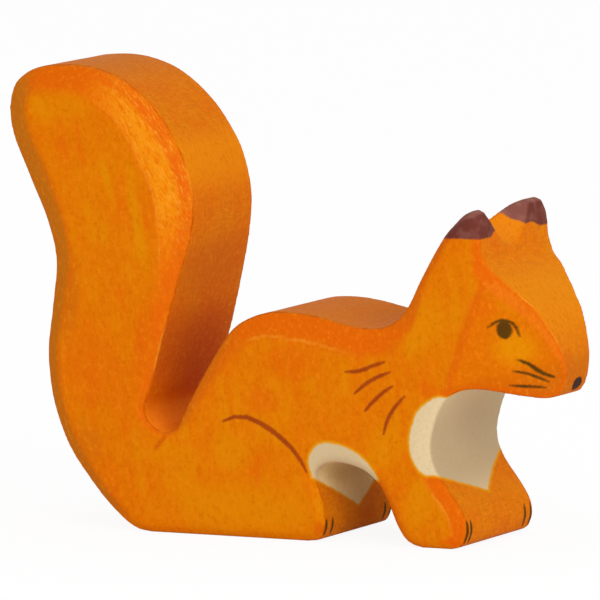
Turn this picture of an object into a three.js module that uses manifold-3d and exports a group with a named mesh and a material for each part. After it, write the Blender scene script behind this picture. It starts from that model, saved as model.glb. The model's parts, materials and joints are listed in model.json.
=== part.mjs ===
// A carved wooden squirrel: one sawn and carved board, stained orange, with its painted marks.
// Millimetres, +Z up. The squirrel looks along +X, and the middle of the board is Y = 0.

import * as THREE from "three";
import { mergeVertices } from "three/addons/utils/BufferGeometryUtils.js";
import Module from "manifold-3d";

const wasm = await Module();
wasm.setup();

const { degToRad, lerp } = THREE.MathUtils;

// The main sizes: from the back of the tail to the nose, up to the top of the tail, and the board
const LENGTH = 100.7;
const HEIGHT = 79.5;
const BOARD_THICKNESS = 30;

// How finely the outline and its bevels are divided
const OUTLINE_STEP = 1.5;
const BEVEL_STEPS = 4;
// Fullness 1 is a flat knife cut and 2 a quarter round
const BEVEL_FULLNESS = 1.15;
// A bevel's direction is averaged along the outline for this many bevel widths each way
const BEVEL_WINDOW = 1.5;

// The pattern's outline in X and Z, drawn at life size and stretched to the length and the height:
// one closed curve, counter-clockwise as the right side shows it. Each stretch begins with its bevel,
// as a width on the side face and a bite into the edge face, which changes evenly to the next one.
const OUTLINE = [
  { stretch: "sole of the hind foot", side: 1.2, edge: 1.0, points: [[-23.5, 0], [6.5, 0]] },
  {
    stretch: "hind toes", side: 1.5, edge: 1.0,
    points: [[8.9, 0.5], [9.6, 2.2], [9.4, 6.0], [8.6, 9.0]],
  },
  {
    stretch: "arch over the hind toes", side: 1.2, edge: 0.8,
    points: [[7.6, 11.6], [9.4, 13.3], [12.0, 13.7]],
  },
  {
    stretch: "arch behind the front leg", side: 1.2, edge: 0.8,
    points: [[15.5, 13.1], [18.5, 11.5], [20.6, 8.8]],
  },
  { stretch: "back of the front paw", side: 1.2, edge: 0.8, points: [[23.4, 2.8], [25.0, 0.8]] },
  { stretch: "sole of the front paw", side: 1.2, edge: 0.8, points: [[27.5, 0], [33.2, 0]] },
  { stretch: "front toes", side: 3.2, edge: 0.7, points: [[35.3, 0.9], [36.0, 2.9], [35.6, 5.4]] },
  { stretch: "front leg", side: 2.7, edge: 0.7, points: [[34.3, 7.7], [30.9, 12.2]] },
  { stretch: "chest", side: 3.0, edge: 0.5, points: [[29.6, 14.8], [29.2, 17.3], [29.7, 20.2]] },
  { stretch: "throat", side: 1.5, edge: 0.5, points: [[30.7, 23.3], [32.4, 25.8], [35.0, 27.1]] },
  { stretch: "jaw", side: 1.5, edge: 0.6, points: [[38.5, 26.9], [42.6, 26.0], [46.9, 25.4]] },
  { stretch: "chin", side: 1.2, edge: 0.8, points: [[48.7, 25.8]] },
  { stretch: "nose", side: 1.2, edge: 0.8, points: [[49.7, 27.2], [50.2, 29.1]] },
  { stretch: "snout", side: 1.2, edge: 0.8, points: [[50.3, 31.0], [49.7, 34.2], [48.2, 37.7]] },
  { stretch: "forehead", side: 6.0, edge: 6.0, points: [[46.4, 41.0], [44.4, 43.4]] },
  { stretch: "brow", side: 3.4, edge: 1.5, points: [[41.6, 46.5], [39.8, 48.3]] },
  { stretch: "front of the ears", side: 2.4, edge: 0.3, points: [[38.9, 50.2], [38.5, 52.8]] },
  { stretch: "tops of the ears", side: 1.2, edge: 0.5, points: [[38.3, 55.1]] },
  { stretch: "tips of the ears", side: 1.0, edge: 1.8, points: [[37.8, 57.2], [36.6, 57.7]] },
  {
    stretch: "back of the ears", side: 1.2, edge: 2.0,
    points: [[35.0, 57.0], [33.2, 55.2], [31.4, 53.1]],
  },
  {
    stretch: "nape", side: 1.5, edge: 0.8,
    points: [[27.3, 45.7], [25.2, 41.5], [23.8, 39.4], [22.2, 38.0]],
  },
  {
    stretch: "withers", side: 5.0, edge: 0.7,
    points: [[20.3, 37.2], [17.5, 36.9], [13.0, 37.4], [8.0, 38.5]],
  },
  { stretch: "back", side: 5.0, edge: 0.7, points: [[3.0, 39.0], [-1.5, 38.7], [-5.0, 37.5]] },
  {
    stretch: "haunch", side: 3.5, edge: 0.8,
    points: [[-7.8, 35.6], [-11.7, 30.0], [-15.4, 23.4], [-17.0, 20.2]],
  },
  {
    stretch: "floor of the slot", side: 0.8, edge: 0.4,
    points: [[-18.2, 18.0], [-20.0, 17.3], [-22.2, 18.0]],
  },
  {
    stretch: "foot of the slot", side: 0.9, edge: 0.4,
    points: [[-23.7, 19.3], [-24.2, 21.2], [-23.0, 25.0]],
  },
  { stretch: "tail in the slot", side: 2.2, edge: 0.4, points: [[-21.0, 32.8], [-19.9, 36.6]] },
  { stretch: "lower front of the tail", side: 3.2, edge: 1.2, points: [[-18.4, 42.3], [-17.2, 47.0]] },
  {
    stretch: "swell of the tail", side: 5.4, edge: 2.6,
    points: [[-16.2, 51.7], [-16.0, 56.4], [-16.8, 61.0]],
  },
  {
    stretch: "upper front of the tail", side: 6.8, edge: 3.0,
    points: [[-18.4, 65.4], [-23.6, 72.7], [-29.9, 77.5]],
  },
  {
    stretch: "top of the tail", side: 4.6, edge: 3.4,
    points: [[-35.5, 79.3], [-40.8, 79.5], [-46.1, 78.6]],
  },
  {
    stretch: "upper back of the tail", side: 4.0, edge: 2.2,
    points: [[-49.2, 76.2], [-50.4, 72.0], [-49.7, 67.2]],
  },
  {
    stretch: "hollow of the tail", side: 4.4, edge: 2.0,
    points: [[-46.8, 60.6], [-43.2, 52.6], [-41.7, 47.8], [-41.5, 43.4]],
  },
  {
    stretch: "root of the tail", side: 3.0, edge: 1.6,
    points: [[-42.1, 37.8], [-42.9, 31.0], [-42.5, 25.0], [-41.1, 19.2]],
  },
  {
    stretch: "rump", side: 2.6, edge: 1.4,
    points: [[-38.3, 13.1], [-34.1, 7.5], [-29.8, 3.0], [-26.4, 0.6]],
  },
];

// The cheeks: a flat cut on each side of the head. It starts at a line on the side face, leans
// towards the nose, and runs out on the throat
const CHEEK_LINE = [[33.8, 31.2], [38.6, 44.8]];
const CHEEK_ANGLE = degToRad(32);
const CHEEK_FOOT = [30.0, 22.5];

// The gouge cut that parts the ears: how deep its valley lies under their tips. It slopes to the front
const GOUGE_DEPTH = 5.7;
// Cut by eye, a little to the right of the middle
const GOUGE_OFF_CENTRE = -1.5;
const GOUGE_SLOPE = degToRad(27);
const GOUGE_RADIUS = 8.5;
const GOUGE_WALL_ANGLE = degToRad(40);
const GOUGE_ARC_STEPS = 10;

// The paint: every mark is a thin film that lies just off the wood under it
const PAINT_SEAT = 0.15;
const PAINT_THICKNESS = 0.2;
const STROKE_STEPS = 8;
// A brush stroke's width at its tips, as a share of its full width
const STROKE_TIP = 0.35;
// The lower this power, the sooner a stroke reaches its full width
const STROKE_SWELL = 0.5;

// How far the ear tips are painted down from the top and out from the gouge's middle, and how
// round the brush left the corner between these edges
const EAR_TIP_HEIGHT = 4.7;
const EAR_TIP_FROM_GOUGE = 5.5;
const EAR_TIP_ROUNDING = 1.5;

// The marks' points lie on the same pattern as the outline
const EYE = {
  centre: [41.8, 37.5],
  half_length: 1.15,
  half_height: 1.6,
  lid_width: 0.5,
  // From the eye's centre, in half lengths and half heights of the eye
  lid: [[-2.15, 0.25], [-0.8, 0.92], [0.1, 1.05], [0.95, 0.8], [1.5, 0.25], [1.9, -0.75]],
};

// A dab on the front of the snout, from a point behind it, a little to the left of the middle
const NOSE = { back: [48.0, 27.4], aside: 0.8, half_width: 1.9, half_height: 1.2 };

// Brush strokes on each side of the squirrel
const SIDE_STROKES = {
  whisker_upper: { width: 0.7, points: [[43.4, 32.3], [45.0, 31.5], [46.8, 30.0], [48.6, 29.2]] },
  whisker_middle: { width: 0.5, points: [[42.6, 30.3], [44.8, 29.8], [47.7, 28.4]] },
  whisker_lower: { width: 0.5, points: [[41.9, 27.8], [45.2, 27.6], [47.3, 27.4]] },
  shoulder_mark_1: { width: 0.7, points: [[13.7, 29.4], [16.4, 29.7], [18.7, 30.6], [21.2, 31.5]] },
  shoulder_mark_2: { width: 0.7, points: [[15.4, 25.7], [17.4, 27.4], [19.7, 28.8], [22.2, 29.8]] },
  shoulder_mark_3: { width: 0.7, points: [[17.3, 22.8], [19.0, 24.6], [21.0, 26.4], [22.6, 27.4]] },
  shoulder_mark_4: { width: 0.7, points: [[20.9, 19.0], [21.5, 21.3], [22.9, 23.7], [24.8, 25.8]] },
  thigh_line: { width: 0.9, points: [[-9.2, 19.8], [-5.7, 20.9], [-1.1, 19.4], [4.0, 15.7], [6.7, 11.8]] },
};

// Claws on the front of each paw: two short upright strokes, set in from the side face by eye, that
// lie between two corners on the pattern: behind and below, before and above
const CLAW_WIDTH = 0.9;
const CLAWS = {
  front: {
    corners: [[30.0, 0.9], [45.0, 5.0]],
    insets: { right: { outer: 1.2, inner: 2.7 }, left: { outer: 1.8, inner: 4.3 } },
  },
  hind: {
    corners: [[5.0, 0.9], [15.0, 3.9]],
    insets: { right: { outer: 1.5, inner: 4.0 }, left: { outer: 1.5, inner: 4.0 } },
  },
};

// White patches: their edge on the side face as a curve that starts at its foot on the right, closed
// by straight runs off the wood, and how far the point in the middle hangs below each side
const CHEST_PATCH = {
  curve: [
    [28.6, 12.4], [27.1, 13.6], [25.9, 15.9], [25.6, 18.4], [26.3, 21.4],
    [27.4, 23.6], [29.0, 25.0], [30.6, 25.8], [32.4, 26.2], [35.0, 27.4],
  ],
  runs: [[42.0, 20.0], [42.0, 5.0], [30.0, 5.0]],
  drop: { right: 4.0, left: 6.1 },
};
const BELLY_PATCH = {
  curve: [
    [7.6, 11.2], [6.9, 13.2], [7.3, 15.3], [9.0, 16.9], [11.4, 17.1],
    [14.4, 16.3], [16.8, 15.0], [18.4, 13.4], [19.9, 10.8],
  ],
  runs: [[24.5, 3.0], [7.6, 3.0]],
  drop: { right: 6.4, left: 6.4 },
};
const PATCH_CURVE_STEPS = 16;

const FINISHES = {
  stained_wood: { color: 0xdf7d10, roughness: 0.55, metalness: 0 },
  white_paint: { color: 0xe6dcc4, roughness: 0.7, metalness: 0 },
  brown_paint: { color: 0x64322d, roughness: 0.6, metalness: 0 },
  umber_paint: { color: 0x9c4a1c, roughness: 0.6, metalness: 0 },
  black_paint: { color: 0x3c3018, roughness: 0.6, metalness: 0 },
};
const MATERIALS = {};
for (const [name, finish] of Object.entries(FINISHES)) {
  MATERIALS[name] = new THREE.MeshStandardMaterial({ name, ...finish });
}

const HALF_THICKNESS = BOARD_THICKNESS / 2;
// Long enough for a cut to pass through the board from its middle
const CUT_REACH = BOARD_THICKNESS;
const AXIS_X = new THREE.Vector3(1, 0, 0);
const AXIS_Y = new THREE.Vector3(0, 1, 0);
const AXIS_Z = new THREE.Vector3(0, 0, 1);
const SIDES = { right: -1, left: 1 };

const PATTERN_SIZE = new THREE.Box2()
  .setFromPoints(OUTLINE.flatMap(({ points }) => points.map(([x, z]) => new THREE.Vector2(x, z))))
  .getSize(new THREE.Vector2());

// Where a point of the pattern lies on the squirrel
function onSquirrel([x, z]) {
  return new THREE.Vector2((x * LENGTH) / PATTERN_SIZE.x, (z * HEIGHT) / PATTERN_SIZE.y);
}

const EAR_TIP = onSquirrel(OUTLINE.find(({ stretch }) => stretch === "tips of the ears").points.at(-1));

function toSolid(geometry) {
  const bare = geometry.clone();
  bare.deleteAttribute("normal");
  bare.deleteAttribute("uv");
  const merged = mergeVertices(bare);
  return new wasm.Manifold(new wasm.Mesh({
    numProp: 3,
    vertProperties: new Float32Array(merged.attributes.position.array),
    triVerts: new Uint32Array(merged.index.array),
  }));
}

function toMesh(name, solid, finish) {
  const { vertProperties, triVerts } = solid.getMesh();
  const geometry = new THREE.BufferGeometry();
  geometry.setAttribute("position", new THREE.BufferAttribute(vertProperties, 3));
  geometry.setIndex(new THREE.BufferAttribute(triVerts, 1));
  geometry.computeVertexNormals();
  const mesh = new THREE.Mesh(geometry, MATERIALS[finish]);
  mesh.name = name;
  return mesh;
}

// The outline's corner points, each with its own share of the change from bevel to bevel
function outlineCorners() {
  return OUTLINE.flatMap((stretch, index) => {
    const next = OUTLINE[(index + 1) % OUTLINE.length];
    return stretch.points.map((point, order) => {
      const along = order / stretch.points.length;
      const place = onSquirrel(point);
      return {
        place: new THREE.Vector3(place.x, 0, place.y),
        side: lerp(stretch.side, next.side, along),
        edge: lerp(stretch.edge, next.edge, along),
      };
    });
  });
}

// Even steps along the outline. The curve dips a little under the soles, which are sanded flat
function outlineSamples() {
  const corners = outlineCorners();
  const curve = new THREE.CatmullRomCurve3(corners.map(({ place }) => place), true, "centripetal");
  return corners.flatMap((corner, index) => {
    const next = corners[(index + 1) % corners.length];
    const steps = Math.max(1, Math.round(corner.place.distanceTo(next.place) / OUTLINE_STEP));
    return Array.from({ length: steps }, (_, step) => {
      const along = step / steps;
      const place = curve.getPoint((index + along) / corners.length);
      return {
        x: place.x,
        z: Math.max(place.z, 0),
        side: lerp(corner.side, next.side, along),
        edge: lerp(corner.edge, next.edge, along),
      };
    });
  });
}

// Each sample's outward direction, averaged so that a wide bevel doesn't fold at a tight corner
function addOutwardDirections(samples) {
  const at = (index) => samples[(index + samples.length) % samples.length];
  samples.forEach((sample, index) => {
    const before = at(index - 1);
    const after = at(index + 1);
    sample.normal = new THREE.Vector2(after.z - before.z, before.x - after.x).normalize();
    sample.stride = Math.hypot(after.x - sample.x, after.z - sample.z);
  });
  samples.forEach((sample, index) => {
    const sum = sample.normal.clone();
    for (const way of [-1, 1]) {
      let travelled = at(index + way).stride;
      for (let step = way; travelled < BEVEL_WINDOW * sample.side; step += way) {
        sum.add(at(index + step).normal);
        travelled += at(index + step).stride;
      }
    }
    sample.outward = sum.normalize();
  });
  return samples;
}

const SAMPLES = addOutwardDirections(outlineSamples());

// One point of the bevel: turn 0 lies on the side face and turn 1 on the edge face
function bevelPoint(sample, hand, turn) {
  const angle = (turn * Math.PI) / 2;
  const out = Math.sin(angle) ** (2 / BEVEL_FULLNESS);
  const flat = Math.max(Math.cos(angle), 0) ** (2 / BEVEL_FULLNESS);
  const shift = sample.side * (out - 1);
  const depth = HALF_THICKNESS - sample.edge * (1 - flat);
  return [sample.x + sample.outward.x * shift, hand * depth, sample.z + sample.outward.y * shift];
}

// The sawn block with its carved bevels: rings from the right side face round to the left one
function blockGeometry() {
  const turns = Array.from({ length: BEVEL_STEPS + 1 }, (_, step) => step / BEVEL_STEPS);
  const rings = [
    ...turns.map((turn) => SAMPLES.map((sample) => bevelPoint(sample, SIDES.right, turn))),
    ...turns.reverse().map((turn) => SAMPLES.map((sample) => bevelPoint(sample, SIDES.left, turn))),
  ];
  const count = SAMPLES.length;
  const triangles = [];
  for (let ring = 0; ring + 1 < rings.length; ring += 1) {
    for (let step = 0; step < count; step += 1) {
      const here = ring * count + step;
      const next = ring * count + ((step + 1) % count);
      triangles.push(here, here + count, next, next, here + count, next + count);
    }
  }
  const geometry = new THREE.BufferGeometry();
  geometry.setAttribute("position", new THREE.Float32BufferAttribute(rings.flat(2), 3));
  geometry.setIndex(triangles);
  geometry.computeVertexNormals();
  const lastRing = (rings.length - 1) * count;
  evenCrease(geometry.attributes.normal, 0, count, SIDES.right);
  evenCrease(geometry.attributes.normal, lastRing, count, SIDES.left);
  for (const [a, b, c] of faceTriangles(rings[0])) {
    triangles.push(a, b, c, lastRing + a, lastRing + c, lastRing + b);
  }
  return geometry.setIndex(triangles);
}

// Normals round a side face, lengthened so that a move along them takes face and bevel out alike
function evenCrease(normals, first, count, hand) {
  const face = AXIS_Y.clone().multiplyScalar(hand);
  for (let index = first; index < first + count; index += 1) {
    const bevel = new THREE.Vector3().fromBufferAttribute(normals, index);
    const move = face.clone().add(bevel).divideScalar(1 + face.dot(bevel));
    normals.setXYZ(index, move.x, move.y, move.z);
  }
}

// The block with its whole surface moved out along its normals
function carvedBlock(grow) {
  const geometry = blockGeometry();
  const { position, normal } = geometry.attributes;
  const place = new THREE.Vector3();
  const outward = new THREE.Vector3();
  for (let index = 0; index < position.count; index += 1) {
    outward.fromBufferAttribute(normal, index);
    place.fromBufferAttribute(position, index).addScaledVector(outward, grow);
    position.setXYZ(index, place.x, place.y, place.z);
  }
  return toSolid(geometry);
}

// The flat side face inside a ring, as triangles that face the right side
function faceTriangles(ring) {
  const contour = ring.map(([x, , z]) => new THREE.Vector2(x, z));
  return THREE.ShapeUtils.triangulateShape(contour, []).map(([a, b, c]) => {
    const clockwise = THREE.ShapeUtils.isClockWise([contour[a], contour[b], contour[c]]);
    return clockwise ? [a, c, b] : [a, b, c];
  });
}

// The wood that the gouge takes from between the ears, less what grow adds to its walls
function earGouge(grow) {
  const radius = GOUGE_RADIUS - grow;
  const wall = new THREE.Vector2(Math.cos(GOUGE_WALL_ANGLE), Math.sin(GOUGE_WALL_ANGLE));
  const foot = new THREE.Vector2(radius * wall.y, GOUGE_RADIUS - radius * wall.x);
  const top = foot.clone().addScaledVector(wall, CUT_REACH);
  const section = new THREE.Shape();
  section.moveTo(-top.x, top.y);
  section.lineTo(-foot.x, foot.y);
  const down = -Math.PI / 2;
  section.absarc(0, GOUGE_RADIUS, radius, down - GOUGE_WALL_ANGLE, down + GOUGE_WALL_ANGLE, false);
  section.lineTo(top.x, top.y);
  section.closePath();
  const forward = new THREE.Vector3(Math.cos(GOUGE_SLOPE), 0, -Math.sin(GOUGE_SLOPE));
  const upward = new THREE.Vector3(Math.sin(GOUGE_SLOPE), 0, Math.cos(GOUGE_SLOPE));
  const valley = new THREE.Vector3(EAR_TIP.x, GOUGE_OFF_CENTRE, EAR_TIP.y - GOUGE_DEPTH);
  const start = valley.addScaledVector(forward, -CUT_REACH);
  return prism(section, [AXIS_Y, upward, forward], start, 2 * CUT_REACH, GOUGE_ARC_STEPS);
}

// A drawn section pushed along its third axis from a start point
function prism(section, axes, start, length, curveSegments) {
  const settings = { depth: length, bevelEnabled: false, curveSegments };
  const geometry = new THREE.ExtrudeGeometry(section, settings);
  geometry.applyMatrix4(new THREE.Matrix4().makeBasis(...axes).setPosition(start));
  return toSolid(geometry);
}

// A section drawn in X and Z, pushed through one side of the board or through all of it
function sidePrism(section, hand) {
  const start = AXIS_Y.clone().multiplyScalar(hand === SIDES.left ? CUT_REACH : 0);
  return prism(section, [AXIS_X, AXIS_Z, AXIS_Y.clone().negate()], start, CUT_REACH, PATCH_CURVE_STEPS);
}

function throughPrism(section) {
  const start = AXIS_Y.clone().multiplyScalar(CUT_REACH);
  return prism(section, [AXIS_X, AXIS_Z, AXIS_Y.clone().negate()], start, 2 * CUT_REACH, PATCH_CURVE_STEPS);
}

// A section drawn in Y and Z, pushed along the squirrel from back_x to front_x
function frontPrism(section, back_x, front_x) {
  const start = AXIS_X.clone().multiplyScalar(back_x);
  return prism(section, [AXIS_Y, AXIS_Z, AXIS_X], start, front_x - back_x, PATCH_CURVE_STEPS);
}

// The wood that the cut on one cheek takes from the head, less what grow adds to the cheek
function cheekCut(hand, grow) {
  const [low, high] = CHEEK_LINE.map(onSquirrel);
  const along = high.clone().sub(low).normalize();
  const forward = new THREE.Vector3(along.y, 0, -along.x);
  const outward = AXIS_Y.clone().multiplyScalar(hand * Math.cos(CHEEK_ANGLE))
    .addScaledVector(forward, Math.sin(CHEEK_ANGLE));
  const start = new THREE.Vector3(low.x, hand * HALF_THICKNESS, low.y);
  const foot = onSquirrel(CHEEK_FOOT);
  const corner = [foot.x, hand === SIDES.left ? 0 : -CUT_REACH, foot.y + grow];
  return wasm.Manifold.cube([LENGTH, CUT_REACH, HEIGHT])
    .translate(corner)
    .trimByPlane(outward.toArray(), outward.dot(start) + grow);
}

function carvedBody(grow) {
  const cuts = Object.values(SIDES).map((hand) => cheekCut(hand, grow));
  return [earGouge(grow), ...cuts].reduce((body, cut) => body.subtract(cut), carvedBlock(grow));
}

const PAINT_LAYER = carvedBody(PAINT_SEAT + PAINT_THICKNESS).subtract(carvedBody(PAINT_SEAT));

// A brush stroke along a smooth curve, full in its middle and narrow at its tips
function strokeSection(points, width) {
  const curve = new THREE.SplineCurve(points);
  const edge = (way) => Array.from({ length: STROKE_STEPS + 1 }, (_, step) => {
    const along = step / STROKE_STEPS;
    const tangent = curve.getTangentAt(along);
    const half = (width / 2) * lerp(STROKE_TIP, 1, Math.sin(along * Math.PI) ** STROKE_SWELL);
    const across = new THREE.Vector2(-tangent.y, tangent.x);
    return curve.getPointAt(along).addScaledVector(across, way * half);
  });
  return new THREE.Shape([...edge(-1), ...edge(1).reverse()]);
}

function ellipseSection(centre, halfWidth, halfHeight) {
  const section = new THREE.Shape();
  section.absellipse(centre.x, centre.y, halfWidth, halfHeight, 0, 2 * Math.PI);
  return section;
}

function paintFilm(name, region, finish) {
  return toMesh(name, PAINT_LAYER.intersect(region), finish);
}

function earTip(name, hand) {
  const inner = GOUGE_OFF_CENTRE + hand * EAR_TIP_FROM_GOUGE;
  const outer = hand * CUT_REACH;
  const bottom = EAR_TIP.y - EAR_TIP_HEIGHT;
  const top = EAR_TIP.y + CUT_REACH;
  const section = new THREE.Shape();
  section.moveTo(inner, bottom + EAR_TIP_ROUNDING);
  section.quadraticCurveTo(inner, bottom, inner + hand * EAR_TIP_ROUNDING, bottom);
  section.lineTo(outer, bottom);
  section.lineTo(outer, top);
  section.lineTo(inner, top);
  section.closePath();
  return paintFilm(name, frontPrism(section, 0, LENGTH), "brown_paint");
}

// The eye and the lid line over it are one painted mark
function eye(name, hand) {
  const centre = onSquirrel(EYE.centre);
  const halves = new THREE.Vector2(EYE.half_length, EYE.half_height);
  const lid = EYE.lid.map(([along, up]) => new THREE.Vector2(along, up).multiply(halves).add(centre));
  const disc = sidePrism(ellipseSection(centre, halves.x, halves.y), hand);
  const line = sidePrism(strokeSection(lid, EYE.lid_width), hand);
  return paintFilm(name, disc.add(line), "black_paint");
}

function nose() {
  const back = onSquirrel(NOSE.back);
  const section = ellipseSection(new THREE.Vector2(NOSE.aside, back.y), NOSE.half_width, NOSE.half_height);
  return paintFilm("nose", frontPrism(section, back.x, LENGTH), "black_paint");
}

function claw(name, hand, inset, corners) {
  const [low, high] = corners.map(onSquirrel);
  const y = hand * (HALF_THICKNESS - inset);
  const section = strokeSection([new THREE.Vector2(y, low.y), new THREE.Vector2(y, high.y)], CLAW_WIDTH);
  return paintFilm(name, frontPrism(section, low.x, high.x), "black_paint");
}

// A white patch wraps from side to side and ends below in a point at the middle
function whitePatch(name, { curve, runs, drop }) {
  const edge = new THREE.SplineCurve(curve.map(onSquirrel)).getSpacedPoints(PATCH_CURVE_STEPS);
  const sideRegion = throughPrism(new THREE.Shape([...edge, ...runs.map(onSquirrel)]));
  const middle = edge[0].y - drop.right;
  const top = middle + 2 * CUT_REACH;
  const rise = (side) => middle + (drop[side] * CUT_REACH) / HALF_THICKNESS;
  const pointed = new THREE.Shape();
  pointed.moveTo(0, middle);
  pointed.lineTo(CUT_REACH, rise("left"));
  pointed.lineTo(CUT_REACH, top);
  pointed.lineTo(-CUT_REACH, top);
  pointed.lineTo(-CUT_REACH, rise("right"));
  pointed.closePath();
  const middleRegion = frontPrism(pointed, -LENGTH, LENGTH);
  return paintFilm(name, sideRegion.intersect(middleRegion), "white_paint");
}

const squirrel = new THREE.Group();
squirrel.add(toMesh("carved_body", carvedBody(0), "stained_wood"));
squirrel.add(whitePatch("chest_patch", CHEST_PATCH));
squirrel.add(whitePatch("belly_patch", BELLY_PATCH));
squirrel.add(nose());
for (const [side, hand] of Object.entries(SIDES)) {
  squirrel.add(earTip(`ear_tip_${side}`, hand));
  squirrel.add(eye(`eye_${side}`, hand));
  for (const [stroke, { width, points }] of Object.entries(SIDE_STROKES)) {
    const finish = stroke.startsWith("whisker") ? "black_paint" : "umber_paint";
    const region = sidePrism(strokeSection(points.map(onSquirrel), width), hand);
    squirrel.add(paintFilm(`${stroke}_${side}`, region, finish));
  }
  for (const [paw, { corners, insets }] of Object.entries(CLAWS)) {
    for (const [place, inset] of Object.entries(insets[side])) {
      squirrel.add(claw(`${paw}_claw_${place}_${side}`, hand, inset, corners));
    }
  }
}

// The origin is under the middle of the squirrel's box
const box = new THREE.Box3().setFromObject(squirrel);
squirrel.position.x = -(box.min.x + box.max.x) / 2;

export default squirrel;
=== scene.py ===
"""Looks of a carved wooden squirrel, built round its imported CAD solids.

The board is cut up finely, carved a little unevenly and sanded. Each painted mark becomes a thin
film on that wood, and its edge fades into the stain. Arrays and patches are in millimetres, finished
meshes in metres.
"""

import json
import math

import bmesh
import bpy
import numpy as np
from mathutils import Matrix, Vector, noise
from mathutils.bvhtree import BVHTree


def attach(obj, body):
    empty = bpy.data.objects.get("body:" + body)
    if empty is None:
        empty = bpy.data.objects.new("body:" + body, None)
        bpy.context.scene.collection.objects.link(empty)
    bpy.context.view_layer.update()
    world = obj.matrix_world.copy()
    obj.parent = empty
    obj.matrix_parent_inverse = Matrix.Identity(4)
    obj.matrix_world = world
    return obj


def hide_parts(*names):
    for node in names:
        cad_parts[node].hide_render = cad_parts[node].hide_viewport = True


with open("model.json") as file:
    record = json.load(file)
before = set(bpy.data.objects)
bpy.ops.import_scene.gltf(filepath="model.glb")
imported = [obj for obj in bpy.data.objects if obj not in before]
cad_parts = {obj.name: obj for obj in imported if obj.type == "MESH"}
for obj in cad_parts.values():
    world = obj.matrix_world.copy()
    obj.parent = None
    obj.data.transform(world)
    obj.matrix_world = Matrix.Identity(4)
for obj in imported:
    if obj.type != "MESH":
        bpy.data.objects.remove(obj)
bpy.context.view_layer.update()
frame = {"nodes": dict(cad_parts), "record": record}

MM = 0.001

# The wood's mesh, and how it was cut.
VOXEL = 0.4                 # spacing of the fine mesh
WELD = 0.001                # vertices of the CAD mesh this near to each other become one
SANDING_ROUNDS = 1          # how often a crest is averaged with what lies round it
KNIFE_DEPTH = 0.16          # how far the knife strays inwards on the bevels
KNIFE_STROKE = 6.0          # length of one stray of the knife
KNIFE_SWING = 1.4           # how fully it strays
SAW_DEPTH = 0.05            # how far the sawn edge strays
FLAT_DEPTH = 0.05           # a point this near the board's face belongs to the flat side
EDGE_TILT = 0.28            # a normal that leans less than this to the side belongs to the sawn edge
CHEEK_WAY = Vector((0.51, 0.84, -0.18))     # the way the left cheek faces
CHEEK_MATCH = 0.985         # a normal this near to that way, as a cosine, belongs to a cheek
GOUGE = Vector((37.5, -1.5, 54.0))          # middle of the hollow between the ears
GOUGE_REACH = (6.5, 8.5)    # how far from there its wood reaches, fully and at all
GOUGE_WAY = Vector((0.89, 0, -0.45))        # the way the gouge was pushed
GOUGE_MATCH = (0.15, 0.3)   # its walls' normals lean this little to that way
GRAIN = Vector((-0.17, 0, 1)).normalized()  # the way the grain runs

# Where the stain changes on that wood, and where painted light and painted shade lie on it.
MASK_ROUNDS = 1             # softens the masks of the bevels, the cheeks and the sawn edge
RIM_ROUNDS = 18             # how far the sawn edge is felt on a bevel, to tell its two borders apart
RIM_SPAN = (0.02, 0.3)      # a border where this much of it is felt is the crest and not the seam
BAND_ROUNDS = 60            # how far the sawn edge is felt for the bands along the crests
BAND_SPAN = (0.02, 0.13)    # a band begins, and is full, where this much of it is felt
DEEP_SPAN = (0.6, 0.95)     # and a place lies deep inside the sawn edge where this much is
BROW_HEIGHTS = (29.0, 33.0, 44.0, 51.0)     # at these heights on the head the brow's band ends
BROW_LEVELS = (0.6, 0.2, 0.05, 0.15)        # where this much of the sawn edge is felt
BROW_SOFTNESS = 0.015       # give or take so much
SOFT_ROUNDS = 5             # softens a bevel's tone towards the flat side
CREASE_ROUNDS = 8           # how wide the redder band along the cheek's border is
LEAN_SPAN = (0.1, 0.35)     # a bevel whose normal leans this far forward or back is toned for it: lighter in front, as painted light, and darker behind, as painted shade
SHADE_ROUNDS = 5            # softens the painted shade on the bevels that face back
NECK_SHADE = 0.4            # the share of that painted shade that they take in front of the tail
TAIL_START = (5.0, 10.0)    # how far behind the middle the tail's tones begin, its painted light and shade among them
TAIL_RISE = (44.0, 58.0)    # between these heights the painted light on its forward bevel grows to full strength
TAIL_FOOT = 0.2             # from this share of it
FOOT_HEIGHT = (1.5, 5.0)    # below these heights a bevel is toned as the flat side
HIND_TOES = (10.0, 14.0)    # and so is one that leans forward on the hind toes, below these
FRONT_LEGS = 25.0           # in front of here, on the front legs, a bevel keeps its own tone
TOE_LEAN = (0.03, 0.12)     # wherever its normal leans this far forward
TOP_LEAN = (0.4, 0.8)       # thin paint takes its lighter tone, as painted light, where a normal leans this far upward
WALL_LEAN = (0.2, 0.6)      # or this far towards the middle of the gouge

# The paint films.
LAYER_MIDDLE = 0.25         # height over the wood of the middle of a CAD film
LAYER_REACH = 1.0           # a CAD film lies within this height over the wood
FILM_LIFT = 0.03            # how far the paint stands on the wood
FILM_SEAT = 0.08            # how far the film reaches into the wood
FILM_TUCK = 0.03            # how far its rim dips under the wood
RIM_WIDTH = 0.15            # the rim rises from there to the full lift within this width

# How far past its border each paint fades, and how often each edge of the wood's mesh is cut for it.
MARGINS = {"white_paint": 0.8, "brown_paint": 0.25, "umber_paint": 0.25, "black_paint": 0.25}
CUTS = {"white_paint": 1, "brown_paint": 1, "umber_paint": 2, "black_paint": 2}

# The photograph's camera, in metres and radians, with its lens and sensor in millimetres.
VIEW_AZIMUTH = math.radians(24.4)
VIEW_HEIGHT = math.radians(6.3)
VIEW_DISTANCE = 1.95
VIEW_TARGET = Vector((-1.47, 0, 39.46)) * MM
VIEW_LENS = 683.6
SENSOR = 36

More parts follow.
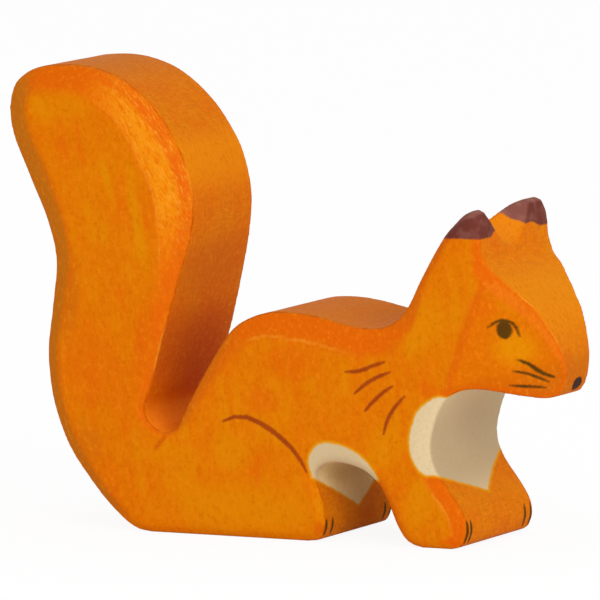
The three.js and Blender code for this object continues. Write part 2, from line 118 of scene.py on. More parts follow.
# The studio, in metres and watts.
WHITE_LIGHT = (1, 1, 1, 1)
AMBIENT = 0.74              # strength of the world's light on the object
KEY_POWER = 6.3             # the broad lamp's power
KEY_PLACE = Vector((0.85, -0.8, 0.45))      # its place, seen from the camera's target
KEY_SIZE = 0.8
FLOOR_SIZE = 6.0
FLOOR_TONE = 0.95
FLOOR_GLOW = 0.9            # the share of the floor that is shown plain white
FLOOR_WHITE = 1.015         # and the strength of that white


def linear(red, green, blue):
    """A display colour, 0 to 255, as the linear colour that a shader takes."""
    shares = [value / 255 for value in (red, green, blue)]
    return [s / 12.92 if s <= 0.04045 else ((s + 0.055) / 1.055) ** 2.4 for s in shares] + [1.0]


# The stain's tones, with painted light and painted shade among them.
STAIN = {
    "base": linear(222, 117, 2),
    "yellow": linear(221, 135, 2),
    "red": linear(223, 98, 6),
    "brown": linear(196, 98, 14),
    "dark": linear(186, 66, 6),
    "pale": linear(240, 150, 44),
    "weave_dark": linear(202, 96, 2),
    "weave_light": linear(235, 134, 16),
    "cheek": linear(215, 105, 3),
    "crease": linear(213, 94, 6),
    "brow": linear(229, 112, 17),
    # A painted light on the sawn edge.
    "lit_sawn": linear(233, 137, 3),
    "hollow": linear(236, 136, 20),
    "top_bevel": linear(224, 97, 6),
    "lit_front_bevel": linear(237, 141, 14),
    "shaded_back_bevel": linear(194, 109, 20),
    "outer_band": linear(228, 98, 12),
    "cut_fibres": linear(244, 160, 52),
    "saw_marks": linear(206, 102, 10),
    "end_grain": linear(206, 114, 28),
    # The slot's deep red is partly stain pooled there and partly painted shade, and its foot's tone is
    # painted light.
    "slot": linear(178, 44, 12),
    "lit_slot_foot": linear(252, 138, 20),
}

# The white paint's tones, with painted shade on the chest's front and the belly's rim and painted light
# deep under the belly, and the yellow that its edge leaves on the stain.
WHITE = {
    "side": linear(223, 201, 158),
    "front": linear(188, 167, 131),
    "belly": linear(209, 186, 145),
    "arch": linear(241, 213, 153),
    "thin": linear(206, 178, 128),
}
HALO = linear(222, 152, 18)

# The noises: the size of their features in millimetres, how finely and how roughly they are broken
# up, and how their places are stretched, turned or moved.
GRAIN_LEAN = math.atan2(GRAIN.x, GRAIN.z)
CUT_LEAN = 0.6              # how the fibres lie that the knife raised on a bevel
STAIN_NOISES = {
    "weave": {"size": 0.7, "detail": 3, "roughness": 0.75, "stretch": (1, 1, 0.7), "lean": -GRAIN_LEAN},
    "fibres": {"size": 0.35, "detail": 3, "stretch": (1, 1, 0.2), "lean": CUT_LEAN},
    "streaks": {"size": 1.3, "detail": 3, "stretch": (1, 1, 0.09), "lean": -GRAIN_LEAN},
    "mottles": {"size": 3.5, "detail": 3, "roughness": 0.6, "stretch": (1, 1, 0.7)},
    "clouds": {"size": 12},
    "strokes": {"size": 3, "detail": 3, "stretch": (1, 1, 0.5), "middle": (7, 3, 11)},
    "saw": {"size": 0.35, "stretch": (1, 0.15, 1)},
}
WHITE_WANDER = {"size": 1.6}
WHITE_BRUSHED = {"size": 0.5, "detail": 3, "roughness": 0.7, "stretch": (1, 1, 0.7)}
THIN_RAGGED = {"size": 0.5}
THIN_CLOUDS = {"size": 2.2}

# How much some of them add to the stain's hue.
HUE_SHARES = {"clouds": 0.35, "mottles": 0.35, "streaks": 0.3}

# How a tone or an edge answers to a noise or a mark: the value where it starts, the one where it
# ends, and what it is at both.
SPANS = {
    "yellow": (0.49, 0.62, 0, 0.6),
    "red": (0.49, 0.36, 0, 0.6),
    "crease": (0.1, 1, 0, 0.7),
    "reddened": (0.35, 0.55, 0.6, 0.95),
    "light_fibres": (0.52, 0.68, 0, 0.65),
    "dark_fibres": (0.48, 0.32, 0, 0.65),
    "saw_marks": (0.38, 0.66, 0, 0.55),
    "end_grain": (0.6, 0.98, 0, 0.85),
    "uneven": (0.38, 0.6, 0.15, 0.6),
    "crest": (0.4, 0.8, 0, 1),
    "seam": (0.4, 0.8, 0, 0.7),
    "bright_seam": (0, 0.5, 0, 1),
    "weave_dark": (0.5, 0.74, 0, 0.6),
    "weave_light": (0.5, 0.26, 0, 0.6),
    "roughness": (0.3, 0.7, 0.5, 0.62),
    "spot": (0.2, 1, 1, 0),
    "white_wander": (0.3, 0.7, -0.06, 0.06),
    "white_thinned": (0.4, 0.75, 0, 0.5),
    "white_halo": (-0.65, 0, 0, 1),
    "white_edge": (-0.15, 0.25, 0, 1),
    "thin_ragged": (0.3, 0.7, -0.05, 0.05),
    "thin_clouds": (0.42, 0.68, 0, 0.3),
}
THIN_EDGE = (-0.24, 0.22)   # thin paint starts at the first of these covers, and is full at the second

# How strong a tone is where its mark is full.
STRENGTHS = {"cheek": 0.75, "brow": 0.9, "bevel": 0.9, "hollow": 0.85, "thinned": 0.45}

# The surface.
SHEEN = 0.012               # how much it mirrors
GRAIN_HEIGHT = 0.02         # height of the fibres that the bump shows
BUMP_STRENGTH = 0.5

# Spots on the pattern: the middle in X and Z, how far the spot reaches both ways, and how it leans.
# White paint is greyer on the front of the chest, as painted shade under the chin. On the belly it is
# darker along the rim, as painted shade, and lighter deep inside, as painted light.
CHEST_SHADE = ((31.0, 16.8), (9.0, 13.5), 0)
BELLY = ((11.0, 15.0), (12.0, 12.0), 0)

# Such spots where the line along a crest is pale and not dark.
PALE_CRESTS = [
    ((-21.5, 31.0), (3.0, 9.0), 0),
    ((-16.5, 60.5), (2.5, 5.5), 0),
    ((45.0, 38.0), (9.0, 17.0), -0.4),
]

# Such spots where a pale line shows between a bevel and the flat side, as it does on the tail.
PALE_SEAMS = [
    ((4.0, 35.0), (16.0, 6.0), 0),
    ((31.0, 8.0), (6.0, 10.0), 0),
]

# The spots at the throat and over the paws where the white paint ends early, and by how much.
BARE_EDGES = [
    ((34.0, 26.8), (3.5, 2.6), -0.4, 1.0),
    ((33.0, 10.5), (7.0, 4.5), 0, 0.35),
]

# Balls round the corners beside the gouge where the ears' paint ends early: the middle and the radius.
EAR_CORNERS = [
    ((38.6, 6.8, 52.9), 4.4),
    ((38.6, -7.4, 53.3), 3.0),
]

# Spots where the brush left more of one tone, and how strong it is there: all over, then on the sawn
# edge only, before the end grain is toned and after it. Some of them are painted light and painted
# shade, as marked beside them.
WASHES = [
    ("yellow", (-31.0, 60.5), (1.2, 6.5), -0.28, 0.8),
    ("yellow", (-25.2, 53.0), (1.7, 13.0), -0.18, 0.85),
    ("yellow", (-39.0, 72.5), (7.0, 3.6), 0, 0.4),
    ("yellow", (28.0, 38.0), (5.0, 9.0), 0.35, 0.6),
    ("yellow", (43.0, 34.2), (5.0, 4.5), 0, 0.9),
    ("yellow", (45.5, 46.0), (5.0, 9.0), 0.4, 0.6),
    ("yellow", (27.5, 8.0), (4.0, 8.0), 0.3, 0.8),
    ("yellow", (21.0, 17.5), (4.0, 6.0), 0, 0.5),
    ("yellow", (-5.0, 4.5), (23.0, 7.0), 0, 0.8),
    ("yellow", (-7.8, 15.0), (6.0, 5.0), 0, 0.7),
    ("yellow", (-6.5, 33.8), (1.8, 1.4), 0, 0.7),
    ("yellow", (35.5, 10.5), (3.0, 3.0), 0, 0.8),
    ("red", (-35.5, 28.0), (7.0, 11.0), 0, 0.5),
    ("red", (-28.5, 26.0), (5.0, 8.0), 0, 0.4),
    ("red", (-24.6, 32.0), (2.2, 10.0), 0.1, 0.8),
    ("red", (-11.5, 29.0), (1.3, 9.0), 0.55, 0.8),
    ("red", (-2.0, 24.0), (5.0, 4.0), 0, 0.6),
    ("red", (4.0, 30.5), (8.0, 5.0), 0, 0.5),
    # Painted shade: the red along the underside of the jaw.
    ("red", (43.0, 26.6), (9.0, 1.8), 0, 0.8),
    ("red", (29.5, 27.0), (4.0, 1.8), 0.3, 0.6),
    ("red", (38.5, 41.5), (3.0, 3.0), 0, 0.6),
    # Painted shade: the brown round the nose and under the snout.
    ("brown", (51.0, 30.0), (3.5, 5.0), 0, 0.6),
    ("brown", (46.5, 26.0), (8.0, 1.6), 0.1, 0.6),
    ("brown", (47.5, 28.5), (6.5, 4.0), 0, 0.5),
    ("brown", (-38.0, 39.5), (2.5, 11.0), 0.1, 0.6),
    ("brown", (-34.5, 15.0), (4.0, 6.0), -0.5, 0.4),
    # Partly brown streaks in the stain and partly painted shade where the body shades the tail's front.
    ("brown", (-17.5, 45.0), (3.0, 8.0), 0, 0.5),
    ("dark", (-20.8, 15.8), (0.7, 3.2), 0.7, 0.6),
    # Painted shadow of the jaw on the throat.
    ("dark", (39.5, 28.0), (6.0, 2.5), 0, 0.25),
]
# Painted light on the sawn edge: the forehead and the top of the tail's front are lightened where light
# falls on them.
LIT_SAWN_WASHES = [
    ("lit_sawn", (46.0, 43.0), (11.0, 13.0), 0, 0.7),
    ("lit_sawn", (-17.5, 63.5), (6.0, 8.0), 0, 0.7),
]
LATE_SAWN_WASHES = [
    # In the tail's slot: the foot lightened with painted light, and the middle darkened, partly as
    # pooled stain and partly as painted shade.
    ("lit_slot_foot", (-22.0, 17.0), (9.0, 6.5), 0, 0.9),
    ("slot", (-17.0, 30.0), (11.0, 14.0), 0.4, 0.6),
    ("yellow", (36.0, 11.5), (4.5, 6.5), 0, 0.9),
]


def ease(values, low, high):
    """0 below low, 1 above high, and a smooth rise between them."""
    share = np.clip((values - low) / (high - low), 0, 1)
    return share * share * (3 - 2 * share)


def mask_border(mask):
    """1 where a soft mask is half way, and 0 inside and outside it."""
    return 4 * mask * (1 - mask)


def vertex_array(mesh, name="co"):
    """One vector of each vertex of a mesh."""
    values = np.empty(len(mesh.vertices) * 3, dtype=np.float32)
    mesh.vertices.foreach_get(name, values)
    return values.astype(np.float64).reshape(-1, 3)


def triangles_of(mesh):
    """The vertices of each triangle of a mesh."""
    mesh.calc_loop_triangles()
    return [tuple(triangle.vertices) for triangle in mesh.loop_triangles]


def keep(mesh, name, values):
    """Keeps a number or a vector on each vertex of a mesh."""
    kind, key = ("FLOAT", "value") if values.ndim == 1 else ("FLOAT_VECTOR", "vector")
    attribute = mesh.attributes.new(name, kind, "POINT")
    attribute.data.foreach_set(key, values.astype(np.float32).ravel())


class Wood:
    """The carved board as a fine mesh of quads, with what its stain needs to know of each vertex."""

    def __init__(self, node):
        solid_places = vertex_array(node.data) / MM
        self.solid = BVHTree.FromPolygons(solid_places.tolist(), triangles_of(node.data))
        self.mesh = self.cut_up(node)
        self.places = vertex_array(self.mesh) / MM
        self.edges = np.empty(len(self.mesh.edges) * 2, dtype=np.int32)
        self.mesh.edges.foreach_get("vertices", self.edges)
        self.edges = self.edges.reshape(-1, 2)
        self.degree = np.bincount(self.edges.ravel(), minlength=len(self.places))
        self.faces = [tuple(face.vertices) for face in self.mesh.polygons]
        self.carve()
        self.mark()
        self.tree = BVHTree.FromPolygons(self.places.tolist(), self.faces)

    @staticmethod
    def cut_up(node):
        """The node's shape as a fine, even mesh."""
        rough = bpy.data.objects.new("rough_board", node.data.copy())
        bpy.context.scene.collection.objects.link(rough)
        weld = rough.modifiers.new("weld", "WELD")
        weld.merge_threshold = WELD * MM
        cut = rough.modifiers.new("cut", "REMESH")
        cut.mode = "VOXEL"
        cut.voxel_size = VOXEL * MM
        graph = bpy.context.evaluated_depsgraph_get()
        mesh = bpy.data.meshes.new_from_object(rough.evaluated_get(graph))
        mesh.name = "carved_wood"
        mesh.materials.clear()
        bpy.data.objects.remove(rough)
        return mesh

    def round_about(self, values, rounds):
        """Values averaged over each vertex's neighbours, over and over."""
        start, end = self.edges.T
        count = len(self.places)
        columns = values.reshape(count, -1).T
        for _ in range(rounds):
            columns = [
                (np.bincount(start, column[end], count) + np.bincount(end, column[start], count))
                / self.degree
                for column in columns
            ]
        return np.stack(columns, axis=1).reshape(values.shape)

    def settle(self):
        """Puts the places into the mesh and reads the normals there."""
        self.mesh.vertices.foreach_set("co", (self.places * MM).astype(np.float32).ravel())
        self.mesh.update()
        self.normals = vertex_array(self.mesh, "normal")

    def facing(self, way):
        """The cosine between each vertex's normal and a way."""
        return self.normals @ np.array(way)

    def carve(self):
        """Tells bevels from flat sides and sawn edges, lets the knife stray, and sands the crests."""
        self.settle()
        side = abs(self.places[:, 1])
        flat = side > side.max() - FLAT_DEPTH
        sole = self.places[:, 2] < VOXEL
        self.gouge = 1 - ease(np.linalg.norm(self.places - GOUGE, axis=1), *GOUGE_REACH)
        sawn = (abs(self.normals[:, 1]) < EDGE_TILT) | (self.gouge > 0.5)
        right_cheek_way = Vector((CHEEK_WAY.x, -CHEEK_WAY.y, CHEEK_WAY.z))
        cheek = np.maximum(self.facing(CHEEK_WAY), self.facing(right_cheek_way)) > CHEEK_MATCH
        bevel = ~(flat | sawn | sole | cheek)
        self.bevel, self.cheek, self.sawn = (
            self.round_about(mask.astype(float), MASK_ROUNDS) for mask in (bevel, cheek, sawn & ~sole)
        )
        stray = np.array([noise.noise(Vector(place) / KNIFE_STROKE) for place in self.places])
        share = 0.5 + 0.5 * np.clip(stray * KNIFE_SWING, -1, 1)
        depth = share * self.round_about(KNIFE_DEPTH * self.bevel + SAW_DEPTH * self.sawn, MASK_ROUNDS)
        self.places -= self.normals * depth[:, None]
        self.places = self.round_about(self.places, SANDING_ROUNDS)
        self.places[:, 2] = np.maximum(self.places[:, 2], 0)
        self.settle()

    def toned(self, faces_front):
        """How far the bevel at each vertex has a tone of its own, and not the flat side's."""
        forward = self.normals[:, 0]
        along, _, height = self.places.T
        over_feet = ease(height, *FOOT_HEIGHT)
        on_toes = faces_front * (1 - ease(height, *HIND_TOES))
        on_paws = np.maximum(over_feet, ease(forward, *TOE_LEAN))
        return np.where(along > FRONT_LEGS, on_paws, over_feet * (1 - on_toes))

    def mark(self):
        """Keeps on each vertex what the stain shows: how it was cut, its grain, and where it faces, for
        the painted light and shade.
        """
        forward, sideways, upward = self.normals.T
        along, across, height = self.places.T
        faces_front = ease(forward, *LEAN_SPAN)
        tail = ease(-along, *TAIL_START)
        toned = self.toned(faces_front)
        rim = ease(self.round_about(self.sawn, RIM_ROUNDS), *RIM_SPAN)
        near_edge = self.round_about(self.sawn, BAND_ROUNDS)
        brow_end = np.interp(height, BROW_HEIGHTS, BROW_LEVELS)
        crisp = np.maximum(faces_front * tail, along > FRONT_LEGS)
        soft = self.round_about(np.minimum(self.bevel + self.sawn, 1), SOFT_ROUNDS) - self.sawn
        shaded = self.round_about(self.bevel * ease(-forward, *LEAN_SPAN), SHADE_ROUNDS)
        gouged = 1 - ease(abs(self.facing(GOUGE_WAY)), *GOUGE_MATCH)
        inward = -np.sign(across - GOUGE.y) * sideways
        self.marks = {
            "bevel": (crisp * self.bevel + (1 - crisp) * np.clip(soft, 0, 1)) * toned,
            # Painted light on the tail's forward bevels, fuller higher up, and painted shade on the
            # bevels that face back.
            "lit_tail_bevel": faces_front * tail * (TAIL_FOOT + (1 - TAIL_FOOT) * ease(height, *TAIL_RISE)),
            "shaded": shaded * (NECK_SHADE + (1 - NECK_SHADE) * tail),
            "sawn": self.sawn,
            "hollow": self.gouge * self.round_about(gouged, MASK_ROUNDS),
            "cheek": self.cheek,
            "brow": self.cheek * ease(near_edge - brow_end, -BROW_SOFTNESS, BROW_SOFTNESS),
            "band": ease(near_edge, *BAND_SPAN),
            "deep": ease(near_edge, *DEEP_SPAN),
            "seam": mask_border(self.bevel) * (1 - rim) * toned,
            "crest": mask_border(self.sawn),
            "crease": mask_border(self.round_about(self.cheek, CREASE_ROUNDS)),
            # Painted light: thin paint is lighter on faces turned up and on the walls of the gouge.
            "thinned": np.maximum(ease(upward, *TOP_LEAN), ease(inward, *WALL_LEAN)),
            "end_grain": abs(self.facing(GRAIN)) * (1 - self.gouge),
        }
        for name, values in self.marks.items():
            keep(self.mesh, name, values)

    def patch(self, low, high):
        """A bmesh of the wood's faces in a box, whose vertices know the wood's normal and marks."""
        inside = np.all((self.places > low) & (self.places < high), axis=1)
        chosen = [face for face in self.faces if inside[list(face)].any()]
        used, local = np.unique(np.array(chosen), return_inverse=True)
        mesh = bpy.data.meshes.new("patch")
        mesh.from_pydata(self.places[used].tolist(), [], local.reshape(-1, 4).tolist())
        for name, values in self.marks.items():
            keep(mesh, name, values[used])
        keep(mesh, "wood_normal", self.normals[used])
        patch = bmesh.new()
        patch.from_mesh(mesh)
        bpy.data.meshes.remove(mesh)
        return patch


class Film:
    """A painted mark: the CAD film's border, laid on the fine wood."""

    def __init__(self, node, wood, slot):
        self.name = node.name
        self.wood = wood
        self.margin = MARGINS[slot]
        self.cuts = CUTS[slot]
        self.places = vertex_array(node.data) / MM
        triangles = triangles_of(node.data)
        self.tree = BVHTree.FromPolygons(self.places.tolist(), triangles)
        outer = [wood.solid.find_nearest(place)[3] > LAYER_MIDDLE for place in self.places]
        walls = [triangle for triangle in triangles if 0 < sum(outer[i] for i in triangle) < 3]
        self.walls = BVHTree.FromPolygons(self.places.tolist(), walls)

    def cover(self, place, normal):
        """How far a point of the wood lies inside the border, below 0 outside, and the way there."""
        middle = place + normal * LAYER_MIDDLE
        way = self.walls.find_nearest(middle)[0] - middle
        way -= normal * way.dot(normal)
        covered = self.tree.ray_cast(place - normal * FILM_SEAT, normal, LAYER_REACH)[0]
        return way.length if covered else -way.length, way

    def lay(self):
        """The film as a closed mesh that follows the wood, with its cover kept on each vertex."""
        room = self.margin + LAYER_REACH
        sheet = self.wood.patch(self.places.min(axis=0) - room, self.places.max(axis=0) + room)
        bmesh.ops.subdivide_edges(sheet, edges=sheet.edges[:], cuts=self.cuts, use_grid_fill=True)
        normal_layer = sheet.verts.layers.float_vector["wood_normal"]
        cover_layer = sheet.verts.layers.float.new("cover")
        ways = {}
        for vertex in sheet.verts:
            normal = vertex[normal_layer].normalized()
            vertex[normal_layer] = normal
            vertex[cover_layer], ways[vertex] = self.cover(vertex.co, normal)
        bare = [
            face for face in sheet.faces
            if all(vertex[cover_layer] < -self.margin for vertex in face.verts)
        ]
        bmesh.ops.delete(sheet, geom=bare, context="FACES")
        for vertex in sheet.verts:
            spare = -vertex[cover_layer] - self.margin
            if spare > 0:
                moved = vertex.co + ways[vertex].normalized() * spare
                vertex.co = self.wood.tree.find_nearest(moved)[0]
                vertex[cover_layer] = -self.margin
        return self.close(sheet)

    def close(self, sheet):
        """Thickens the sheet into the wood, and shades it as the wood under it."""
        sheet.verts.index_update()
        normal_layer = sheet.verts.layers.float_vector["wood_normal"]
        places = np.array([vertex.co for vertex in sheet.verts])
        normals = np.array([vertex[normal_layer] for vertex in sheet.verts])
        marks = {
            name: np.array([vertex[sheet.verts.layers.float[name]] for vertex in sheet.verts])
            for name in [*self.wood.marks, "cover"]
        }
        count = len(places)
        rise = ease(marks["cover"], -self.margin, -self.margin + RIM_WIDTH)
        lift = rise * (FILM_LIFT + FILM_TUCK) - FILM_TUCK
        top = places + normals * lift[:, None]
        bottom = places - normals * FILM_SEAT
        faces = [[vertex.index for vertex in face.verts] for face in sheet.faces]
        under = [[index + count for index in reversed(face)] for face in faces]
        rim = []
        for edge in sheet.edges:
            if edge.is_boundary:
                loop = edge.link_loops[0]
                start, end = loop.vert.index, loop.link_loop_next.vert.index
                rim.append([end, start, start + count, end + count])
        sheet.free()
        mesh = bpy.data.meshes.new(self.name)
        mesh.from_pydata((np.vstack([top, bottom]) * MM).tolist(), [], faces + under + rim)
        for name, values in marks.items():
            keep(mesh, name, np.concatenate([values, values]))
        mesh.shade_smooth()
        mesh.normals_split_custom_set_from_vertices(np.vstack([normals, -normals]).tolist())
        return mesh


class Shader:
    """A node tree, filled by short calls, most of which return a socket."""

    def __init__(self, tree):
        self.tree = tree
        self.tree.nodes.clear()

    def node(self, kind, inputs=None, **settings):
        """A new node with its settings, and its inputs set or linked."""
        node = self.tree.nodes.new("ShaderNode" + kind)
        for name, value in settings.items():
            setattr(node, name, value)
        for name, value in (inputs or {}).items():
            self.feed(node.inputs[name], value)
        return node

    def feed(self, socket, value):
        """Links a socket to another, or sets its value."""
        if isinstance(value, bpy.types.NodeSocket):
            self.tree.links.new(value, socket)
        else:
            socket.default_value = value

    def places(self, stretch=(1, 1, 1), middle=(0, 0, 0), lean=0):
        """Object coordinates in millimetres from a middle, turned about Y and then stretched."""
        coordinates = self.node("TexCoord").outputs["Object"]
        offset = [-value for value in middle]
        scaled = {"Vector": coordinates, "Scale": [1 / MM] * 3, "Location": offset}
        from_middle = self.node("Mapping", scaled)
        turned = self.node("Mapping", {"Vector": from_middle.outputs[0], "Rotation": (0, lean, 0)})
        stretched = self.node("Mapping", {"Vector": turned.outputs[0], "Scale": stretch})
        return stretched.outputs[0]

    def noise(self, size, detail=2, roughness=0.5, **places):
        """Noise from 0 to 1 with features of about that size in millimetres, at such places."""
        settings = {
            "Vector": self.places(**places),
            "Scale": 1 / size,
            "Detail": detail,
            "Roughness": roughness,
        }
        return self.node("TexNoise", settings).outputs["Fac"]

    def attribute(self, name):
        """A number kept on the mesh."""
        return self.node("Attribute", attribute_name=name).outputs["Fac"]

    def span(self, value, low, high, bottom, top):
        """A smooth step from bottom to top as the value goes from low to high."""
        settings = {
            "Value": value, "From Min": low, "From Max": high, "To Min": bottom, "To Max": top,
        }
        return self.node("MapRange", settings, interpolation_type="SMOOTHSTEP").outputs[0]

    def math(self, operation, first, second):
        """Two numbers joined by one operation."""
        node = self.node("Math", operation=operation)
        self.feed(node.inputs[0], first)
        self.feed(node.inputs[1], second)
        return node.outputs[0]

    def mix(self, factor, first, second):
        """The first colour, with the second laid over it by the factor."""
        node = self.node("Mix", data_type="RGBA")
        color_sockets = [socket for socket in node.inputs if socket.type == "RGBA"]
        self.feed(node.inputs["Factor"], factor)
        self.feed(color_sockets[0], first)
        self.feed(color_sockets[1], second)
        return next(socket for socket in node.outputs if socket.type == "RGBA")

    def fade(self, places):
        """1 near the origin, and 0 from a length of 1 on."""
        length = self.node("VectorMath", {"Vector": places}, operation="LENGTH").outputs["Value"]
        return self.span(length, *SPANS["spot"])

    def spot(self, middle, reach, lean):
        """1 in the middle of an ellipse on the pattern, and 0 from its edge on."""
        stretch = (1 / reach[0], 0, 1 / reach[1])
        return self.fade(self.places(stretch, (middle[0], 0, middle[1]), -lean))

    def any_spot(self, spots):
        """The most that any of some spots gives."""
        most = 0.0
        for spot in spots:
            most = self.math("MAXIMUM", most, self.spot(*spot))
        return most

    def ball(self, middle, radius):
        """1 in the middle of a ball, and 0 from its edge on."""
        return self.fade(self.places([1 / radius] * 3, middle))

    def strong_mark(self, name):
        """A number kept on the mesh, times the strength that its tone has."""
        return self.math("MULTIPLY", self.attribute(name), STRENGTHS[name])

    def wash(self, color, washes, where=1.0):
        """A colour with washes of the stain's tones laid over it, as far as where allows."""
        for tone, middle, reach, lean, strength in washes:
            share = self.math("MULTIPLY", self.spot(middle, reach, lean), strength)
            color = self.mix(self.math("MULTIPLY", share, where), color, STAIN[tone])
        return color


def stain_sides(shader, noises):
    """The stain on the flat sides and the cheeks."""
    hue = 0.0
    for name, share in HUE_SHARES.items():
        hue = shader.math("ADD", hue, shader.math("MULTIPLY", noises[name], share))
    color = shader.mix(shader.span(hue, *SPANS["yellow"]), STAIN["base"], STAIN["yellow"])
    color = shader.mix(shader.span(hue, *SPANS["red"]), color, STAIN["red"])
    color = shader.mix(shader.strong_mark("cheek"), color, STAIN["cheek"])
    color = shader.wash(color, WASHES)
    crease = shader.span(shader.attribute("crease"), *SPANS["crease"])
    color = shader.mix(crease, color, STAIN["crease"])
    return shader.mix(shader.strong_mark("brow"), color, STAIN["brow"])


def stain_bevels(shader, noises, color):
    """Adds the bevels: redder on top, lighter in front with painted light and raised fibres, and darker
    behind with painted shade.
    """
    uneven = shader.span(noises["strokes"], *SPANS["reddened"])
    reddened = shader.math("MULTIPLY", uneven, shader.attribute("band"))
    light = shader.span(noises["fibres"], *SPANS["light_fibres"])
    dark = shader.span(noises["fibres"], *SPANS["dark_fibres"])
    # The forward bevels' lighter tone is painted light, and the raised fibres on it are the wood's own.
    on_front = shader.mix(reddened, STAIN["lit_front_bevel"], STAIN["outer_band"])
    on_front = shader.mix(light, on_front, STAIN["cut_fibres"])
    on_front = shader.mix(dark, on_front, STAIN["outer_band"])
    on_bevel = shader.mix(shader.attribute("lit_tail_bevel"), STAIN["top_bevel"], on_front)
    # Bevels that face back are darkened with painted shade.
    on_bevel = shader.mix(shader.attribute("shaded"), on_bevel, STAIN["shaded_back_bevel"])
    return shader.mix(shader.strong_mark("bevel"), color, on_bevel)


def stain_sawn_edges(shader, noises, color):
    """Adds the sawn edge: saw marks, the gouge's hollow, darker end grain, and its own washes of tone,
    painted light and painted shade.
    """
    sawn = shader.attribute("sawn")
    saw_marks = shader.span(noises["saw"], *SPANS["saw_marks"])
    color = shader.mix(sawn, color, shader.mix(saw_marks, color, STAIN["saw_marks"]))
    color = shader.wash(color, LIT_SAWN_WASHES, sawn)
    color = shader.mix(shader.strong_mark("hollow"), color, STAIN["hollow"])
    end_grain = shader.span(shader.attribute("end_grain"), *SPANS["end_grain"])
    color = shader.mix(end_grain, color, STAIN["end_grain"])
    return shader.wash(color, LATE_SAWN_WASHES, sawn)


def stain_lines(shader, noises, color):
    """Adds the uneven lines along the crests, and the pale ones where a bevel meets the flat side."""
    uneven = shader.span(noises["strokes"], *SPANS["uneven"])
    line = shader.mix(shader.any_spot(PALE_CRESTS), STAIN["dark"], STAIN["pale"])
    crest = shader.span(shader.attribute("crest"), *SPANS["crest"])
    color = shader.mix(shader.math("MULTIPLY", crest, uneven), color, line)
    lit_tail_bevel = shader.span(shader.attribute("lit_tail_bevel"), *SPANS["bright_seam"])
    seen = shader.math("MAXIMUM", lit_tail_bevel, shader.any_spot(PALE_SEAMS))
    seam = shader.math("MULTIPLY", shader.span(shader.attribute("seam"), *SPANS["seam"]), seen)
    return shader.mix(shader.math("MULTIPLY", seam, uneven), color, STAIN["pale"])


def stain_group():
    """The orange stain over the grain, with painted light and shade in it, used by the wood and by
    every paint's faded edge.
    """
    group = bpy.data.node_groups.new("orange_stain", "ShaderNodeTree")
    for name, kind in (("Color", "Color"), ("Roughness", "Float"), ("Height", "Float")):
        group.interface.new_socket(name, in_out="OUTPUT", socket_type="NodeSocket" + kind)
    shader = Shader(group)
    noises = {name: shader.noise(**settings) for name, settings in STAIN_NOISES.items()}
    color = stain_sides(shader, noises)
    color = stain_bevels(shader, noises, color)
    color = stain_sawn_edges(shader, noises, color)
    color = stain_lines(shader, noises, color)
    weave = noises["weave"]
    for tone in ("weave_dark", "weave_light"):
        color = shader.mix(shader.span(weave, *SPANS[tone]), color, STAIN[tone])
    output = group.nodes.new("NodeGroupOutput")
    shader.feed(output.inputs["Color"], color)
    shader.feed(output.inputs["Roughness"], shader.span(weave, *SPANS["roughness"]))
    shader.feed(output.inputs["Height"], weave)
    return group


def surface(name, group, fill):
    """A material of stained wood; fill takes its shader and the stain, and returns a colour."""
    material = bpy.data.materials.new(name)
    material.use_nodes = True
    shader = Shader(material.node_tree)
    stain = shader.node("Group", node_tree=group)
    relief = {
        "Height": stain.outputs["Height"], "Strength": BUMP_STRENGTH, "Distance": GRAIN_HEIGHT * MM,
    }
    bump = shader.node("Bump", relief)
    settings = {
        "Base Color": fill(shader, stain.outputs["Color"]),
        "Roughness": stain.outputs["Roughness"],
        "Normal": bump.outputs["Normal"],
        "Specular IOR Level": SHEEN,
    }
    principled = shader.node("BsdfPrincipled", settings)
    shader.node("OutputMaterial", {"Surface": principled.outputs["BSDF"]})
    return material


def bare_wood(_shader, stain):
    """Only the stain."""
    return stain


def white_paint(shader, stain):
    """Thin warm white with a soft edge, where it turns the stain yellow."""
    # Painted shade darkens the belly's white, and painted light lightens it deep under the belly.
    on_belly = shader.mix(shader.attribute("deep"), WHITE["belly"], WHITE["arch"])
    white = shader.mix(shader.spot(*BELLY), WHITE["side"], on_belly)
    # Painted shade greys the front of the chest, under the chin.
    on_front = shader.math("MULTIPLY", shader.attribute("sawn"), shader.spot(*CHEST_SHADE))
    white = shader.mix(on_front, white, WHITE["front"])
    thinned = shader.span(shader.noise(**WHITE_BRUSHED), *SPANS["white_thinned"])
    white = shader.mix(thinned, white, WHITE["thin"])
    wander = shader.span(shader.noise(**WHITE_WANDER), *SPANS["white_wander"])
    edge = shader.math("ADD", shader.attribute("cover"), wander)
    for middle, reach, lean, width in BARE_EDGES:
        bare = shader.math("MULTIPLY", shader.spot(middle, reach, lean), width)
        edge = shader.math("SUBTRACT", edge, bare)
    color = shader.mix(shader.span(edge, *SPANS["white_halo"]), stain, HALO)
    return shader.mix(shader.span(edge, *SPANS["white_edge"]), color, white)


def thin_paint(tone, faded, strength, bare_corners=()):
    """A paint laid over the stain by one brush stroke, with a soft and slightly ragged edge."""
    def fill(shader, stain):
        ragged = shader.span(shader.noise(**THIN_RAGGED), *SPANS["thin_ragged"])
        edge = shader.math("ADD", shader.attribute("cover"), ragged)
        for corner in bare_corners:
            edge = shader.math("SUBTRACT", edge, shader.ball(*corner))
        clouds = shader.span(shader.noise(**THIN_CLOUDS), *SPANS["thin_clouds"])
        # The lighter tone stands for thinner paint in clouds, and for painted light on faces turned up
        # and into the gouge.
        thinned = shader.math("ADD", clouds, shader.strong_mark("thinned"))
        paint = shader.mix(thinned, tone, faded)
        return shader.mix(shader.span(edge, *THIN_EDGE, 0, strength), stain, paint)
    return fill


